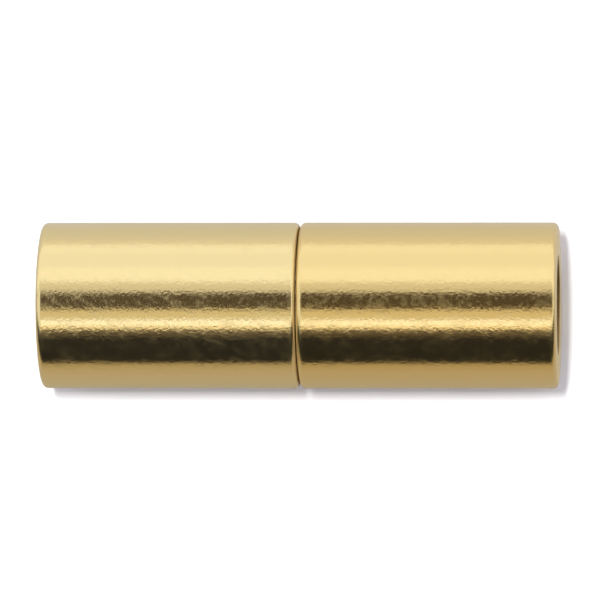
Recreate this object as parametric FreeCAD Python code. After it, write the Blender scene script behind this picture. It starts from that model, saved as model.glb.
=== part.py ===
import FreeCAD, Part
import os
from collections import namedtuple

# Barrel magnetic clasp for a glued-in round cord, lying along X.
# The origin is on the clasp's axis, in the middle of the seam between the two halves. +Z is up.

# Driving sizes in millimetres
outer_diameter = 6.0
half_length = 9.325
seam_gap = 0.04
end_edge_radius = 0.2
seam_edge_radius = 0.2

# Cord bores, open at the clasp's two ends
cord_bore_diameter = 3.6
cord_bore_depth = 6.0
bore_mouth_radius = 0.06

# Disc magnets and the pockets that they are glued into
magnet_diameter = 5.0
magnet_thickness = 2.0
magnet_edge_radius = 0.1
magnet_proud = 0.5
magnet_face_gap = 0.02
glue_gap = 0.04
pocket_mouth_bevel = 0.05

# Sizes worked out from the driving ones
barrel_radius = outer_diameter / 2
bore_radius = cord_bore_diameter / 2
magnet_radius = magnet_diameter / 2
pocket_radius = magnet_radius + glue_gap
left_magnet_face = magnet_proud - seam_gap / 2
right_magnet_face = left_magnet_face + magnet_face_gap
left_pocket_depth = magnet_thickness + glue_gap - magnet_proud
right_pocket_depth = right_magnet_face - seam_gap / 2 + magnet_thickness + glue_gap

# Which way each half points from the seam
left_side = -1
right_side = 1

# A corner of an outline: its place along the axis and out from it, and how its edge is finished.
# The finish is sharp, round or bevel, and size is the radius or the bevel's leg.
Corner = namedtuple("Corner", "along radius finish size")


def corner_point(corner):
    return FreeCAD.Vector(corner.along, corner.radius, 0)


def step_towards(point, target, distance):
    """The point that lies the distance away from point, on the way to target."""
    direction = target - point
    direction.normalize()
    return point + direction * distance


def outline_wire(corners):
    """A closed outline through right-angled corners, each with its own finish."""
    points = [corner_point(corner) for corner in corners]
    edges = []
    start = None
    first_start = None
    for index, corner in enumerate(corners):
        here = points[index]
        before = step_towards(here, points[index - 1], corner.size)
        after = step_towards(here, points[(index + 1) % len(points)], corner.size)
        if start is None:
            first_start = before
        else:
            edges.append(Part.LineSegment(start, before).toShape())
        if corner.finish == "round":
            centre = before + after - here
            middle = step_towards(centre, here, corner.size)
            edges.append(Part.Arc(before, middle, after).toShape())
        if corner.finish == "bevel":
            edges.append(Part.LineSegment(before, after).toShape())
        start = after
    edges.append(Part.LineSegment(start, first_start).toShape())
    return Part.Wire(edges)


def turned_solid(corners):
    """The solid that an outline sweeps in one full turn about the clasp's axis."""
    origin = FreeCAD.Vector(0, 0, 0)
    axis = FreeCAD.Vector(1, 0, 0)
    face = Part.Face(outline_wire(corners))
    solid = Part.Solid(face.revolve(origin, axis, 360))
    if solid.Volume < 0:
        solid.reverse()
    return solid


def barrel(side, pocket_depth):
    """One half's shell: a cord bore, a web behind it and a magnet pocket at the seam."""
    seam = side * seam_gap / 2
    pocket_floor = seam + side * pocket_depth
    end = seam + side * half_length
    bore_floor = end - side * cord_bore_depth
    return turned_solid([
        Corner(pocket_floor, 0, "sharp", 0),
        Corner(pocket_floor, pocket_radius, "sharp", 0),
        Corner(seam, pocket_radius, "bevel", pocket_mouth_bevel),
        Corner(seam, barrel_radius, "round", seam_edge_radius),
        Corner(end, barrel_radius, "round", end_edge_radius),
        Corner(end, bore_radius, "round", bore_mouth_radius),
        Corner(bore_floor, bore_radius, "sharp", 0),
        Corner(bore_floor, 0, "sharp", 0),
    ])


def magnet(side, face):
    """A disc magnet with rounded edges, whose outer face is at the given place on the axis."""
    back = face + side * magnet_thickness
    return turned_solid([
        Corner(face, 0, "sharp", 0),
        Corner(face, magnet_radius, "round", magnet_edge_radius),
        Corner(back, magnet_radius, "round", magnet_edge_radius),
        Corner(back, 0, "sharp", 0),
    ])


def clasp_pieces():
    return {
        "left_barrel": barrel(left_side, left_pocket_depth),
        "left_magnet": magnet(left_side, left_magnet_face),
        "right_barrel": barrel(right_side, right_pocket_depth),
        "right_magnet": magnet(right_side, right_magnet_face),
    }


os.makedirs("parts", exist_ok=True)
for name, solid in clasp_pieces().items():
    solid.exportStep(f"parts/{name}.step")
    print(f"{name}: {solid.Volume:.2f} mm3, valid {solid.isValid()}")
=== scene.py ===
# %% [markdown]
# A barrel magnetic clasp, gold plated, lies on white paper and is seen from almost straight
# above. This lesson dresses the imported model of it: two turned brass barrels that meet end to
# end, each with a bore for a glued-in cord at its outer end and a disc magnet at the seam.
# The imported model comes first, because every piece below is made to its sizes and rides on it.

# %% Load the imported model
import math

import bpy
import numpy as np
from mathutils import Matrix, Vector


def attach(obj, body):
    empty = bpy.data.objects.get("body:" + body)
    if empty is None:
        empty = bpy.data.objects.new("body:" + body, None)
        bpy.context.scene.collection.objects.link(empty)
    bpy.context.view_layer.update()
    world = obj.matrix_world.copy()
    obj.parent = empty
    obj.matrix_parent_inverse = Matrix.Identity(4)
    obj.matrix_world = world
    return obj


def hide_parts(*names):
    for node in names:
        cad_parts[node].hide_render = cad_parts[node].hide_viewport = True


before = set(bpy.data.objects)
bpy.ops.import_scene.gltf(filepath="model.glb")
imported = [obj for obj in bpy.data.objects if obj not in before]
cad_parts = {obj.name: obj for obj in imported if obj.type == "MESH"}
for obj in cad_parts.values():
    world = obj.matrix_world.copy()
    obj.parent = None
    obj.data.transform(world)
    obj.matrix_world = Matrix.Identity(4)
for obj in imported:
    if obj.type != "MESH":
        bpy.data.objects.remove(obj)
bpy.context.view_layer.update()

# %% [markdown]
# The clasp's sizes are in millimetres, as a maker's drawing gives them, and Blender works in
# metres, so each piece is scaled once, where its mesh is made. X runs along the clasp, Z is up
# and the origin is on the axis, in the middle of the seam. A barrel's places are distances from
# the origin, alike on both sides, and a magnet's are its two ends on X.

# %% Sizes of the clasp
MM = 0.001
SIDES = ("left", "right")
BARREL_RADIUS = 3.0
BARREL_END = 9.345
SEAM_FACE = 0.02
BORE_RADIUS = 1.8
BORE_FLOOR = 3.345
MAGNET_RADIUS = 2.5
POCKET_RADIUS = 2.54
POCKET_FLOORS = {"left": 1.56, "right": 2.54}
MAGNET_SPANS = {"left": (-1.52, 0.48), "right": (0.50, 2.50)}
print("barrel", BARREL_RADIUS * 2, "mm across,", BARREL_END * 2, "mm over both halves")

# %% [markdown]
# No edge of a turned and plated piece is sharp. The outer edges have a soft rounding, which the
# photograph shows, the mouth of a bore has a very small one and the mouth of a pocket a bevel.
# In the inside corners the tip of the cutter leaves its own small radius.

# %% Edges of the clasp
END_ROUNDING = 0.2
SEAM_ROUNDING = 0.2
BORE_ROUNDING = 0.06
MAGNET_ROUNDING = 0.1
POCKET_BEVEL = 0.05
POCKET_CUTTER = 0.02
BORE_CUTTER = 0.04
print("outer edges rounded by", END_ROUNDING, "mm at the ends and", SEAM_ROUNDING, "mm at the seam")

# %% [markdown]
# The photograph was taken with a long lens from almost overhead. The clasp shows no change of
# width from end to end, which only a far camera gives, and the inside of one bore's mouth can
# just be seen, which says that the camera leans a few degrees that way. A target point and two
# leans say this more plainly than a rotation would. The picture's up is +Y, so the camera is
# turned by its three axes: Z points back along the view and X stays level with the picture's.

# %% Camera
CAMERA_LEAN_X, CAMERA_LEAN_Y = 4.1, -4.0
CAMERA_DISTANCE = 271.5
CAMERA_TARGET = (-0.020, 0.2, 0.0)
SENSOR_WIDTH, FOCAL_LENGTH = 36.0, 450.0
CLIP_START, CLIP_END = 0.01, 10.0


def facing(towards):
    """The turn whose Z axis is towards, and whose Y axis is square to the clasp's own axis."""
    up = towards.cross(Vector((1, 0, 0))).normalized()
    return Matrix((up.cross(towards), up, towards)).transposed().to_quaternion()


slopes = [math.tan(math.radians(lean)) for lean in (CAMERA_LEAN_X, CAMERA_LEAN_Y)]
towards_camera = Vector((*slopes, 1.0)).normalized()
camera = bpy.data.objects.new("portrait_camera", bpy.data.cameras.new("portrait_camera"))
bpy.context.scene.collection.objects.link(camera)
camera.data.sensor_width = SENSOR_WIDTH
camera.data.lens = FOCAL_LENGTH
camera.data.clip_start = CLIP_START
camera.data.clip_end = CLIP_END
camera.location = Vector(CAMERA_TARGET) * MM + towards_camera * CAMERA_DISTANCE * MM
camera.rotation_mode = "QUATERNION"
camera.rotation_quaternion = facing(towards_camera)
bpy.context.scene.camera = camera
print("camera at", [round(c, 4) for c in camera.location])

# %% [markdown]
# Every piece of the clasp was made on a lathe, so its shape is one outline turned about the
# axis. A bevel modifier on a cylinder could round the edges, but polished metal shows every
# kink in a normal, so the outline is worked out exactly: straight runs joined by arcs that meet
# them without a corner. The same formula gives the surface's normal at each point.

# %% The outline of a turned piece
ARC_STEPS = 12


def rounded_outline(corners):
    """Straight runs between corners, joined by arcs.

    A corner is (place along the axis, radius, rounding). A run's normal is its direction turned
    a quarter turn to the left. At a corner the run is cut back by the rounding times the tangent
    of half the turn, and a point of the arc is its centre plus the rounding times a normal that
    swings from one run's to the next one's. In an inside corner the arc's centre is on the other
    side, so the sign changes. Returns the points and the normals, both (along, outward).
    """
    points = np.array([c[:2] for c in corners], dtype=float)
    rounding = np.array([c[2] for c in corners[1:-1]], dtype=float)[:, None]
    way = np.diff(points, axis=0)
    way /= np.linalg.norm(way, axis=1, keepdims=True)
    left = np.stack([-way[:, 1], way[:, 0]], axis=1)
    before, after = left[:-1], left[1:]
    swing_sine = before[:, 0] * after[:, 1] - before[:, 1] * after[:, 0]
    swing = np.arctan2(swing_sine, (before * after).sum(1))
    outside = -np.sign(swing)[:, None]
    start = points[1:-1] - way[:-1] * rounding * np.tan(np.abs(swing) / 2)[:, None]
    centre = start - outside * rounding * before
    angle = swing[:, None] * np.linspace(0, 1, ARC_STEPS + 1)
    cos, sin = np.cos(angle), np.sin(angle)
    normal = np.stack([
        before[:, :1] * cos - before[:, 1:] * sin,
        before[:, :1] * sin + before[:, 1:] * cos,
    ], axis=2)
    arc = centre[:, None] + (outside * rounding)[:, None] * normal
    ends = points[[0, -1]]
    outline = np.concatenate([ends[:1], arc.reshape(-1, 2), ends[1:]])
    normals = np.concatenate([left[:1], normal.reshape(-1, 2), left[-1:]])
    return outline, normals


print("each arc of an outline has", ARC_STEPS + 1, "points")

# %% [markdown]
# The outline is turned by carrying each of its points round the axis, which gives one ring of
# vertices for each point. Neighbouring rings are joined by four-sided faces, and a ring's last
# vertex joins its first, so no seam is left open. The outline's two ends lie on the axis, where
# a ring would shrink to nothing, so each is one vertex with a fan of triangles. The normals are
# carried round in the same way, and the mesh is told to shade with them.

# %% Turning the outline
RING_POINTS = 192


def swept(pairs, angle):
    """Each (along, outward) carried round: (along, outward * cos angle, outward * sin angle)."""
    along = np.broadcast_to(pairs[:, :1], (len(pairs), len(angle)))
    outward = pairs[:, 1:]
    around = [outward * np.cos(angle), outward * np.sin(angle)]
    return np.stack([along, *around], axis=2).reshape(-1, 3)


def turned_piece(name, corners):
    """The outline turned about X, closed by a pole at each end."""
    outline, normals = rounded_outline(corners)
    angle = np.arange(RING_POINTS) * 2 * np.pi / RING_POINTS
    poles = np.pad(outline[[0, -1]], ((0, 0), (0, 1)))
    pole_normals = np.pad(normals[[0, -1]], ((0, 0), (0, 1)))
    vertices = np.concatenate([swept(outline[1:-1], angle), poles]) * MM
    vertex_normals = np.concatenate([swept(normals[1:-1], angle), pole_normals])
    here = np.arange((len(outline) - 2) * RING_POINTS).reshape(-1, RING_POINTS)
    beside = np.roll(here, -1, axis=1)
    walls = np.stack([here[:-1], beside[:-1], beside[1:], here[1:]], axis=2).reshape(-1, 4)
    first, last = np.full(RING_POINTS, here.size), np.full(RING_POINTS, here.size + 1)
    caps = np.concatenate([
        np.stack([first, beside[0], here[0]], axis=1),
        np.stack([here[-1], beside[-1], last], axis=1),
    ])
    mesh = bpy.data.meshes.new(name)
    mesh.from_pydata(vertices.tolist(), [], walls.tolist() + caps.tolist())
    mesh.shade_smooth()
    mesh.normals_split_custom_set_from_vertices(vertex_normals.tolist())
    piece = bpy.data.objects.new(name, mesh)
    bpy.context.scene.collection.objects.link(piece)
    print(name, len(mesh.polygons), "faces")
    return piece


print("each ring round the axis has", RING_POINTS, "points")

# %% [markdown]
# A barrel's outline starts on the axis at the floor of the bore, goes up its wall and over the
# rim, along the outside, and back down the pocket. Both halves are listed in that order. The
# right half's list is then turned round, so that it too runs towards +X, because the side on
# which a face looks out depends on the way that the outline runs.

# %% Barrels
def barrel_corners(side):
    """The outline of one half, from its lower x to its higher x."""
    sign = -1 if side == "left" else 1
    bore = [
        (BORE_FLOOR, 0.0, 0.0),
        (BORE_FLOOR, BORE_RADIUS, BORE_CUTTER),
        (BARREL_END, BORE_RADIUS, BORE_ROUNDING),
        (BARREL_END, BARREL_RADIUS, END_ROUNDING),
    ]
    pocket = [
        (SEAM_FACE, BARREL_RADIUS, SEAM_ROUNDING),
        (SEAM_FACE, POCKET_RADIUS + POCKET_BEVEL, POCKET_CUTTER),
        (SEAM_FACE + POCKET_BEVEL, POCKET_RADIUS, POCKET_CUTTER),
        (POCKET_FLOORS[side], POCKET_RADIUS, POCKET_CUTTER),
        (POCKET_FLOORS[side], 0.0, 0.0),
    ]
    corners = [(sign * along, radius, rounding) for along, radius, rounding in bore + pocket]
    return corners if side == "left" else corners[::-1]


barrels = {side: turned_piece(f"{side}_barrel_plated", barrel_corners(side)) for side in SIDES}

# %% [markdown]
# The magnets are plain discs, nickel plated and slightly rounded at the edge. One stands proud
# of its half and the other is sunk, so that the halves centre each other as they snap together.

# %% Magnets
def magnet_corners(side):
    """The outline of a disc, from its lower x to its higher x."""
    low, high = MAGNET_SPANS[side]
    return [
        (low, 0.0, 0.0),
        (low, MAGNET_RADIUS, MAGNET_ROUNDING),
        (high, MAGNET_RADIUS, MAGNET_ROUNDING),
        (high, 0.0, 0.0),
    ]


magnets = {side: turned_piece(f"{side}_magnet_disc", magnet_corners(side)) for side in SIDES}

# %% [markdown]
# Each new piece stands for one solid of the imported model, which is hidden, and rides on that
# solid's body.

# %% Tie the pieces to the imported model
for side in SIDES:
    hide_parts(f"{side}_barrel")
    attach(barrels[side], f"{side}_half")
    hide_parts(f"{side}_magnet")
    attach(magnets[side], f"{side}_half")
    print(barrels[side].name, "and", magnets[side].name, "ride on", f"{side}_half")

# %% [markdown]
# Node trees are easier to read when each node takes one line. The first helper adds a node with
# its settings and, for each input, takes a number or another node's socket. The others name the
# nodes that come up again and again: arithmetic, a range and a mix.

# %% Node helpers
MIX_SOCKETS = {"FLOAT": (2, 3, 0), "RGBA": (6, 7, 2)}


def add_node(tree, kind, inputs=None, **settings):
    """A new node, with its properties from settings and its sockets from inputs."""
    node = tree.nodes.new(kind)
    for name, value in settings.items():
        setattr(node, name, value)
    for socket, value in (inputs or {}).items():
        if isinstance(value, bpy.types.NodeSocket):
            tree.links.new(value, node.inputs[socket])
        else:
            node.inputs[socket].default_value = value
    return node


def calculated(tree, operation, *values):
    """The result of a Math node, whose operation takes the values in order."""
    inputs = dict(enumerate(values))
    return add_node(tree, "ShaderNodeMath", inputs, operation=operation).outputs[0]


def ranged(tree, value, start, end, low=0.0, high=1.0, shape="LINEAR"):
    """Low where value is at start, high where it is at end, and held at those beyond them."""
    inputs = {"Value": value, "From Min": start, "From Max": end, "To Min": low, "To Max": high}
    return add_node(tree, "ShaderNodeMapRange", inputs, interpolation_type=shape).outputs[0]


def mixed(tree, kind, share, first, second):
    """First where share is 0 and second where it is 1; the kind is FLOAT or RGBA."""
    first_socket, second_socket, result = MIX_SOCKETS[kind]
    inputs = {0: share, first_socket: first, second_socket: second}
    return add_node(tree, "ShaderNodeMix", inputs, data_type=kind).outputs[result]


# %% [markdown]
# Three more helpers are about surfaces. A noise gives grain and patches, a bump turns a height
# into a normal, and the distance from the axis tells a turned piece's outside from its inside.

# %% Surface helpers
def lumps(tree, vector, scale, detail):
    """A noise around 0.5, with scale lumps to each unit of the vector."""
    inputs = {"Vector": vector, "Scale": scale, "Detail": detail}
    return add_node(tree, "ShaderNodeTexNoise", inputs).outputs[0]


def bumped(tree, height, depth):
    """The normal of a surface that rises by depth millimetres where height goes from 0 to 1."""
    inputs = {"Height": height, "Strength": 1.0, "Distance": depth * MM}
    return add_node(tree, "ShaderNodeBump", inputs).outputs[0]


def axis_distance(tree, place):
    """The distance from the clasp's axis, which is the length of (0, y, z)."""
    inputs = {0: place, 1: (0.0, 1.0, 1.0)}
    across = add_node(tree, "ShaderNodeVectorMath", inputs, operation="MULTIPLY").outputs[0]
    length = add_node(tree, "ShaderNodeVectorMath", {0: across}, operation="LENGTH")
    return length.outputs["Value"]


# %% [markdown]
# An effect that several materials share is a node group with named sockets, built once and
# placed wherever it is needed. A material starts as a Principled shader and the Object
# coordinates, which stay with a piece however it moves. Colours are written with three numbers,
# and a socket wants a fourth, which says that nothing shows through.

# %% Groups and materials
def opaque(colour):
    """The colour with an alpha of 1."""
    return (*colour, 1.0)


def new_group(name, sockets_in, sockets_out):
    """An empty shader group: {name: (kind, default)} comes in and the named values go out."""
    group = bpy.data.node_groups.new(name, "ShaderNodeTree")
    for socket, (kind, default) in sockets_in.items():
        made = group.interface.new_socket(socket, in_out="INPUT", socket_type=kind)
        if default is not None:
            made.default_value = default
    for socket in sockets_out:
        group.interface.new_socket(socket, in_out="OUTPUT", socket_type="NodeSocketFloat")
    given = group.nodes.new("NodeGroupInput").outputs
    out = group.nodes.new("NodeGroupOutput").inputs
    print("group", name, "puts out", ", ".join(sockets_out))
    return group, given, out


def placed(tree, group, inputs):
    """The outputs of a group that is placed in a tree."""
    return add_node(tree, "ShaderNodeGroup", inputs, node_tree=group).outputs


def new_material(name):
    """A material with only a Principled shader and the Object coordinates to read."""
    material = bpy.data.materials.new(name)
    material.use_nodes = True
    tree = material.node_tree
    place = tree.nodes.new("ShaderNodeTexCoord").outputs["Object"]
    print("material", name)
    return material, tree, tree.nodes["Principled BSDF"], place


# %% [markdown]
# Electroplated brass is never a perfect mirror. A fine grain from the bath, like orange peel a
# tenth of a millimetre across, makes the edges of every reflection ragged, and the polishing
# wheel leaves slower waves below it. Both are noise in Object coordinates, because a solid
# pattern has no seam round a cylinder. They come out as one height, and a coarser noise as a
# mask of the patches where the polish is a little duller.

# %% Plating grain
GRAIN_SIZE, WAVE_SIZE, SPECK_SIZE = 0.10, 0.55, 0.2
MOTTLE_FROM, MOTTLE_TO = 0.92, 1.25


def plating_grain_group():
    """Height is waves * wave + grain, and Mottle rises with speck + wave."""
    group, given, out = new_group(
        "plating grain",
        {"Vector": ("NodeSocketVector", None), "Waves": ("NodeSocketFloat", 1.0)},
        ["Height", "Mottle"],
    )
    grain = lumps(group, given["Vector"], 1 / (GRAIN_SIZE * MM), 2.0)
    wave = lumps(group, given["Vector"], 1 / (WAVE_SIZE * MM), 2.0)
    speck = lumps(group, given["Vector"], 1 / (SPECK_SIZE * MM), 1.0)
    height = calculated(group, "MULTIPLY_ADD", wave, given["Waves"], grain)
    both = calculated(group, "ADD", speck, wave)
    mottle = ranged(group, both, MOTTLE_FROM, MOTTLE_TO, shape="SMOOTHSTEP")
    group.links.new(height, out["Height"])
    group.links.new(mottle, out["Mottle"])
    return group


plating_grain = plating_grain_group()

# %% [markdown]
# The left half was held at a slant to the polishing wheel and keeps a trace of it: faint streaks
# that run down to the right. A noise that is stretched along one turned axis gives such streaks,
# and both the pull and the turn are done to the coordinates before the noise reads them.

# %% Wheel streaks
STREAK_WIDTH, STREAK_LENGTH = 0.22, 3.2
STREAK_TURN = 32.0
STREAK_FROM, STREAK_TO = 0.5, 0.72


def wheel_streaks_group():
    """Streak is near 1 on a streak and 0 between; the coordinates are turned about Z first."""
    group, given, out = new_group(
        "wheel streaks", {"Vector": ("NodeSocketVector", None)}, ["Streak"],
    )
    turn = {"Vector": given["Vector"], "Rotation": (0.0, 0.0, math.radians(STREAK_TURN))}
    turned = add_node(group, "ShaderNodeMapping", turn).outputs[0]
    pull = (1 / STREAK_LENGTH / MM, 1 / STREAK_WIDTH / MM, 1 / STREAK_WIDTH / MM)
    pulled = add_node(group, "ShaderNodeVectorMath", {0: turned, 1: pull}, operation="MULTIPLY")
    noise = lumps(group, pulled.outputs[0], 1.0, 1.0)
    streak = ranged(group, noise, STREAK_FROM, STREAK_TO, shape="SMOOTHSTEP")
    group.links.new(streak, out["Streak"])
    return group


wheel_streaks = wheel_streaks_group()

# %% [markdown]
# The polishing wheel reaches the outside of a barrel and its rounded edges, but not the flat end
# faces, which keep the satin of the lathe, nor the bores. Both places are found from Object
# coordinates: the distance from the axis says what is inside a hole, and the distance from the seam
# says what is an end face. The same masks carry painted shade into the bores and a painted
# reflection onto the end faces. The lathe's feed leaves fine rings on both, which are a sine of the
# distance that the tool was fed along. The faces that meet at the seam have a mask of their own,
# for the film that has gathered there.

# %% Places that the polishing wheel misses
FEED = 0.09
# Where each mask is 0 and where it is 1, as a radius for inside and a distance from the seam
# for the others.
MASK_RANGES = {
    "inside": (BORE_RADIUS + 0.04, BORE_RADIUS),
    "end_face": (BARREL_END - 0.02, BARREL_END - 0.005),
    "end_edge": (BARREL_END - END_ROUNDING - 0.04, BARREL_END - END_ROUNDING + 0.04),
    "seam_edge": (SEAM_ROUNDING + 0.08, SEAM_ROUNDING),
    "seam_face": (0.075, 0.035),
}


def turned_places_group():
    """Masks of the places, and the rings of the lathe.

    Inside is 1 where the radius is under the bore's, Turned adds the flat end faces, and Edge is
    1 on the rounded edges. Seam is 1 on the faces that meet. Rings is sin(2 pi s / feed), where
    s is the distance from the seam inside a bore and the radius on an end face.
    """
    group, given, out = new_group(
        "turned places",
        {"Vector": ("NodeSocketVector", None)},
        ["Inside", "Turned", "Edge", "Seam", "Rings"],
    )
    radius = axis_distance(group, given["Vector"])
    along = add_node(group, "ShaderNodeSeparateXYZ", {"Vector": given["Vector"]}).outputs["X"]
    distance = calculated(group, "ABSOLUTE", along)
    masks = {}
    for name, (start, end) in MASK_RANGES.items():
        measured = radius if name == "inside" else distance
        masks[name] = ranged(group, measured, start * MM, end * MM)
    turned = calculated(group, "MAXIMUM", masks["inside"], masks["end_face"])
    edge = calculated(group, "MAXIMUM", masks["seam_edge"], masks["end_edge"])
    fed = mixed(group, "FLOAT", masks["inside"], radius, distance)
    rings = calculated(group, "SINE", calculated(group, "MULTIPLY", fed, 2 * math.pi / (FEED * MM)))
    group.links.new(masks["inside"], out["Inside"])
    group.links.new(turned, out["Turned"])
    group.links.new(edge, out["Edge"])
    group.links.new(masks["seam_face"], out["Seam"])
    group.links.new(rings, out["Rings"])
    return group


turned_places = turned_places_group()

# %% [markdown]
# Gold plate takes its whole colour from what it mirrors, so the base colour is the metal's own
# reflectance and everything else is studio, except for painted light: the end faces are painted
# paler as a painted reflection of bright paper, and the bores darker as painted shade. The left
# half came out of the bath a little paler than the right one. The seam would be black if its
# faces were mirrors, but a dull brown film of wear and old polish lies on them, which scatters
# some light back out.

# %% Colours of the gold plate
GOLD = {"left": (0.98, 0.80, 0.41), "right": (0.98, 0.765, 0.36)}
# Painted reflection: a paler gold on the end faces, which stands in for the bright paper they
# mirror.
FACE_GOLD_PAINTED_REFLECTION = (0.985, 0.83, 0.52)
# Painted shade: a dark gold inside the bores, where shade falls.
BORE_GOLD_PAINTED_SHADE = (0.45, 0.30, 0.13)
SEAM_FILM = (0.55, 0.38, 0.14)
SEAM_METALLIC = 0.15


def gold_colour(tree, side, masks):
    """The half's gold, paler on the end faces as a painted reflection, darker in the holes as
    painted shade, and filmed at the seam.
    """
    plated = mixed(tree, "RGBA", masks["Turned"], opaque(GOLD[side]), opaque(FACE_GOLD_PAINTED_REFLECTION))
    with_painted_bore_shade = mixed(tree, "RGBA", masks["Inside"], plated, opaque(BORE_GOLD_PAINTED_SHADE))
    return mixed(tree, "RGBA", masks["Seam"], with_painted_bore_shade, opaque(SEAM_FILM))


print("golds:", GOLD)

# %% [markdown]
# Roughness tells polished gold from satin. The wheel leaves the outside nearly a mirror, with
# duller patches and, on the left half, the streaks. Handling has worn the rounded edges, and
# the places that the wheel misses stay as the lathe left them, with its rings in the relief.

# %% Polish and relief of the gold plate
POLISHED, WORN, SATIN = 0.135, 0.22, 0.55
MOTTLED = 0.07
STREAKED = 0.06
GRAIN_DEPTH = 0.0048
GOLD_WAVES = 0.3
RING_SHARE = 0.16


def gold_roughness(tree, side, place, masks, mottle):
    """Polished, plus a share of each mask, then worn on the edges and satin where turned."""
    polished = POLISHED
    if side == "left":
        streak = placed(tree, wheel_streaks, {"Vector": place})["Streak"]
        polished = calculated(tree, "MULTIPLY_ADD", streak, STREAKED, POLISHED)
    patchy = calculated(tree, "MULTIPLY_ADD", mottle, MOTTLED, polished)
    worn = ranged(tree, masks["Edge"], 0.0, 1.0, patchy, WORN)
    return ranged(tree, masks["Turned"], 0.0, 1.0, worn, SATIN)


def gold_relief(tree, masks, height):
    """The normal of the plating's grain, with the lathe's rings added where turned."""
    rings = calculated(tree, "MULTIPLY", masks["Rings"], masks["Turned"])
    ringed = calculated(tree, "MULTIPLY_ADD", rings, RING_SHARE, height)
    return bumped(tree, ringed, GRAIN_DEPTH)


print("roughness", POLISHED, "polished,", WORN, "worn and", SATIN, "satin")

# %% [markdown]
# The three parts meet in one material for each half, because the halves differ in colour and in
# their streaks. The film at the seam is the one place that isn't bare metal.

# %% Gold plate
def gold_plate(side):
    """The material of one half."""
    material, tree, shader, place = new_material(f"gold_plate_{side}")
    masks = placed(tree, turned_places, {"Vector": place})
    grain = placed(tree, plating_grain, {"Vector": place, "Waves": GOLD_WAVES})
    roughness = gold_roughness(tree, side, place, masks, grain["Mottle"])
    metallic = ranged(tree, masks["Seam"], 0.0, 1.0, 1.0, SEAM_METALLIC)
    tree.links.new(gold_colour(tree, side, masks), shader.inputs["Base Color"])
    tree.links.new(roughness, shader.inputs["Roughness"])
    tree.links.new(metallic, shader.inputs["Metallic"])
    tree.links.new(gold_relief(tree, masks, grain["Height"]), shader.inputs["Normal"])
    return material


for side, piece in barrels.items():
    piece.data.materials.append(gold_plate(side))

# %% [markdown]
# The magnets wear bright nickel, greyer and harder than the gold. Their sides carry a brown film
# of the glue that holds them, and a thin line of it shows through the seam.

# %% Nickel plate
NICKEL = (0.66, 0.64, 0.60)
GLUE_FILM = (0.62, 0.45, 0.24)
GLUE_FROM, GLUE_TO = MAGNET_RADIUS - 0.03, MAGNET_RADIUS - 0.005
NICKEL_WAVES = 0.6
NICKEL_DEPTH = 0.006
NICKEL_BRIGHT, NICKEL_DULL = 0.14, 0.26


def nickel_plate():
    """The material of both magnets."""
    material, tree, shader, place = new_material("magnet_nickel")
    grain = placed(tree, plating_grain, {"Vector": place, "Waves": NICKEL_WAVES})
    film = ranged(tree, axis_distance(tree, place), GLUE_FROM * MM, GLUE_TO * MM)
    colour = mixed(tree, "RGBA", film, opaque(NICKEL), opaque(GLUE_FILM))
    roughness = ranged(tree, grain["Mottle"], 0.0, 1.0, NICKEL_BRIGHT, NICKEL_DULL)
    tree.links.new(colour, shader.inputs["Base Color"])
    tree.links.new(roughness, shader.inputs["Roughness"])
    tree.links.new(bumped(tree, grain["Height"], NICKEL_DEPTH), shader.inputs["Normal"])
    shader.inputs["Metallic"].default_value = 1.0
    return material


nickel = nickel_plate()
for piece in magnets.values():
    piece.data.materials.append(nickel)

# %% [markdown]
# The clasp lies on white paper, which is a plain square just below it. It isn't part of the
# clasp.

# %% Paper
PAPER_HALF = 0.9
paper_mesh = bpy.data.meshes.new("paper")
square = np.array([[-1, -1], [1, -1], [1, 1], [-1, 1]]) * PAPER_HALF
paper_points = np.column_stack([square, np.full(4, -BARREL_RADIUS * MM)])
paper_mesh.from_pydata(paper_points.tolist(), [], [[0, 1, 2, 3]])
paper = bpy.data.objects.new("paper", paper_mesh)
bpy.context.scene.collection.objects.link(paper)
print("paper", PAPER_HALF * 2, "m wide, at z =", -BARREL_RADIUS, "mm")

# %% [markdown]
# The paper is exposed to pure white, but the metal mirrors a greyer one, as film and screens clip
# what is brighter than white. Light Path tells the two apart: the camera sees white paper, and
# mirrored rays see a grey tone with painted light and shade on it: a painted pool of light below
# the softbox behind, painted warm light and shade in front, and painted black further in front.
# A ramp along Y holds these painted tones.

# %% Tones of the paper
PAPER_WHITE = 0.96
RAMP_START, RAMP_END = -180.0, 130.0
# The painted light and shade that the metal mirrors at each place along Y, in millimetres.
MIRRORED_PAINTED_LIGHT = {
    -165.0: (0.02, 0.02, 0.02),
    -145.0: (0.30, 0.25, 0.15),
    -29.0: (0.32, 0.27, 0.17),
    -10.0: (0.35, 0.31, 0.25),
    -4.0: (0.35, 0.33, 0.28),
    4.0: (0.45, 0.45, 0.45),
    15.0: (0.48, 0.48, 0.47),
    28.0: (0.52, 0.51, 0.48),
    60.0: (0.56, 0.53, 0.46),
    125.0: (0.60, 0.57, 0.49),
}


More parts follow.
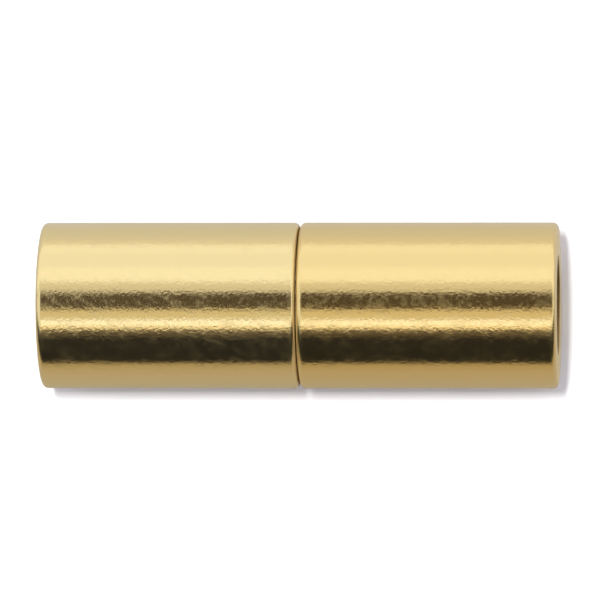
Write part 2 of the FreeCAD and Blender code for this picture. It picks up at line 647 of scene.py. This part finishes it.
def white_paper():
    """A diffuse material: white for the camera, and the ramp's painted light and shade for mirrored
    rays.
    """
    material, tree, shader, place = new_material("white_paper")
    tree.nodes.remove(shader)
    across = add_node(tree, "ShaderNodeSeparateXYZ", {"Vector": place}).outputs["Y"]
    on_ramp = ranged(tree, across, RAMP_START * MM, RAMP_END * MM)
    ramp = add_node(tree, "ShaderNodeValToRGB", {"Fac": on_ramp})
    stops = ramp.color_ramp.elements
    stops.remove(stops[1])
    for y, tone in MIRRORED_PAINTED_LIGHT.items():
        stops.new((y - RAMP_START) / (RAMP_END - RAMP_START)).color = opaque(tone)
    stops.remove(stops[0])
    mirrored = tree.nodes.new("ShaderNodeLightPath").outputs["Is Glossy Ray"]
    tone = mixed(tree, "RGBA", mirrored, opaque([PAPER_WHITE] * 3), ramp.outputs[0])
    diffuse = add_node(tree, "ShaderNodeBsdfDiffuse", {"Color": tone})
    tree.links.new(diffuse.outputs[0], tree.nodes["Material Output"].inputs["Surface"])
    print("ramp with", len(stops), "tones")
    return material


paper_mesh.materials.append(white_paper())

# %% [markdown]
# A polished cylinder is a map of the studio: each band along it mirrors one lamp or one dark
# gap. Reading the bands as angles from straight up gives the studio: a large softbox behind, the
# dark of the camera overhead, a warm glow and a narrow bright strip in front of it, then black.
# Each lamp is given by the angles between which it shows, and by how bright the metal sees it.

# %% How a lamp is made
LAMP_DISTANCE = 0.6
WHITE = (1.0, 1.0, 1.0)


def lamp(name, tilt, lean, brightness, colour=WHITE, mirrored=True):
    """An area lamp with two sides along X, which fills a range of tilts and leans.

    Tilt is (lowest, highest) from straight up towards +Y and lean the same towards -X, in
    degrees. The lamp's plane is the distance d away along the middle tilt, so its width across
    is twice d times tan(half the range), and along X it runs from -d tan(highest lean) to
    -d tan(lowest lean). The power is pi times the area times the brightness, which makes a
    perfect mirror show that brightness. A lamp that isn't mirrored lights the paper instead.
    """
    middle, half = math.radians(sum(tilt) / 2), math.radians(tilt[1] - tilt[0]) / 2
    low_x, high_x = sorted(-LAMP_DISTANCE * math.tan(math.radians(angle)) for angle in lean)
    data = bpy.data.lights.new(name, "AREA")
    data.shape = "RECTANGLE"
    data.size, data.size_y = high_x - low_x, 2 * LAMP_DISTANCE * math.tan(half)
    data.energy = math.pi * data.size * data.size_y * brightness
    data.color = colour
    towards = Vector((0.0, math.sin(middle), math.cos(middle)))
    made = bpy.data.objects.new(name, data)
    bpy.context.scene.collection.objects.link(made)
    made.location = towards * LAMP_DISTANCE + Vector(((low_x + high_x) / 2, 0.0, 0.0))
    made.rotation_mode = "QUATERNION"
    made.rotation_quaternion = facing(towards)
    made.visible_camera = False
    made.visible_glossy = mirrored
    made.visible_diffuse = not mirrored
    print("lamp", name, "tilt", tilt, "lean", lean, "brightness", brightness)


# %% [markdown]
# The softbox has two tubes that make its lower and upper parts a little brighter, and its light
# spills on what stands in front of it. Where a band fades, a weaker lamp carries on from the
# strong one. The lamps over the clasp reach further to the right than to the left. The only
# lamp that lights the paper is the small one overhead, and it draws the shadow.

# %% Lamps
BEHIND = (-78.0, 78.0)
ABOVE = (-53.0, 12.0)
lamp("softbox_behind", (28.5, 91.0), BEHIND, 0.89)
lamp("softbox_low_tube", (28.5, 50.0), BEHIND, 0.09)
lamp("softbox_high_tube", (74.0, 91.0), BEHIND, 0.05)
lamp("softbox_spill", (14.3, 28.5), ABOVE, 0.69, colour=(1.0, 0.95, 0.87))
lamp("camera_gap", (-8.9, 14.3), ABOVE, 0.048, colour=(1.0, 0.66, 0.34))
lamp("warm_glow", (-22.6, -9.2), ABOVE, 0.66, colour=(1.0, 0.87, 0.60))
lamp("bright_strip", (-32.0, -23.4), ABOVE, 1.18, colour=(1.0, 1.0, 1.04))
lamp("strip_edge", (-36.6, -32.0), ABOVE, 0.98, colour=(1.0, 0.86, 0.60))
lamp("strip_tail", (-48.0, -36.5), ABOVE, 0.065, colour=(1.0, 0.76, 0.50))
lamp("key_overhead", (-1.8, 5.7), (1.3, 3.9), 380.0, mirrored=False)

# %% [markdown]
# The rounded edges at the seam and the ends mirror what stands beside the clasp, which is two
# white panels. They are large and soft, so the world shader holds them, worked out from the
# direction of a mirrored ray: its X says how far to the left or right it goes, and the angle
# from straight up towards +Y says how far forward or back.

# %% Panels beside the clasp
world = bpy.data.worlds.new("studio")
bpy.context.scene.world = world
world.use_nodes = True
sky = world.node_tree
# Where each edge of the panels is, and how soft it is, in degrees.
PANEL_LEFT, LEFT_SOFT = 12.0, 2.0
PANEL_RIGHT, RIGHT_SOFT = 53.0, 4.0
PANEL_FRONT, FRONT_SOFT = -40.0, 3.0
PANEL_BACK, BACK_SOFT = 28.5, 3.0


def sine(degrees):
    """The sine of an angle in degrees."""
    return math.sin(math.radians(degrees))


def soft_edge(value, start, end):
    """A smooth step in the world's tree, from 0 at start to 1 at end."""
    return ranged(sky, value, start, end, shape="SMOOTHSTEP")


def panels_mask():
    """(left + right) * front * back, each a smooth step: 1 where a ray meets a panel."""
    place = sky.nodes.new("ShaderNodeTexCoord").outputs["Generated"]
    x, y, z = add_node(sky, "ShaderNodeSeparateXYZ", {"Vector": place}).outputs
    left = soft_edge(x, -sine(PANEL_LEFT - LEFT_SOFT), -sine(PANEL_LEFT + LEFT_SOFT))
    right = soft_edge(x, sine(PANEL_RIGHT - RIGHT_SOFT), sine(PANEL_RIGHT + RIGHT_SOFT))
    tilt = calculated(sky, "ARCTAN2", y, z)
    front_low, front_high = PANEL_FRONT - FRONT_SOFT, PANEL_FRONT + FRONT_SOFT
    front = soft_edge(tilt, math.radians(front_low), math.radians(front_high))
    back = soft_edge(tilt, math.radians(PANEL_BACK), math.radians(PANEL_BACK - BACK_SOFT))
    sides = calculated(sky, "ADD", left, right)
    return calculated(sky, "MULTIPLY", sides, calculated(sky, "MULTIPLY", front, back))


panels = panels_mask()
print("panels from", PANEL_LEFT, "degrees to the left and", PANEL_RIGHT, "to the right")

# %% [markdown]
# The world answers each kind of ray in its own way. Mirrored rays see the panels and the dark
# between them. Rays from the paper see an even fill, slightly lilac as the photograph's shadow
# is, and the camera sees white. The view transform is Standard, because the tones were read
# from a photograph that is already developed.

# %% World
SEEN_BACKDROP = 1.0
PANEL_TONE, DARK_TONE = 0.8, 0.015
FILL, LILAC = 0.66, (1.0, 0.97, 1.06)

path = sky.nodes.new("ShaderNodeLightPath").outputs
mirrored = ranged(sky, panels, 0.0, 1.0, DARK_TONE, PANEL_TONE)
unseen = mixed(sky, "FLOAT", path["Is Glossy Ray"], FILL, mirrored)
strength = mixed(sky, "FLOAT", path["Is Camera Ray"], unseen, SEEN_BACKDROP)
colour = mixed(sky, "RGBA", path["Is Diffuse Ray"], opaque(WHITE), opaque(LILAC))
sky.links.new(strength, sky.nodes["Background"].inputs["Strength"])
sky.links.new(colour, sky.nodes["Background"].inputs["Color"])
bpy.context.scene.view_settings.view_transform = "Standard"
print("fill", FILL, "with panels of", PANEL_TONE)
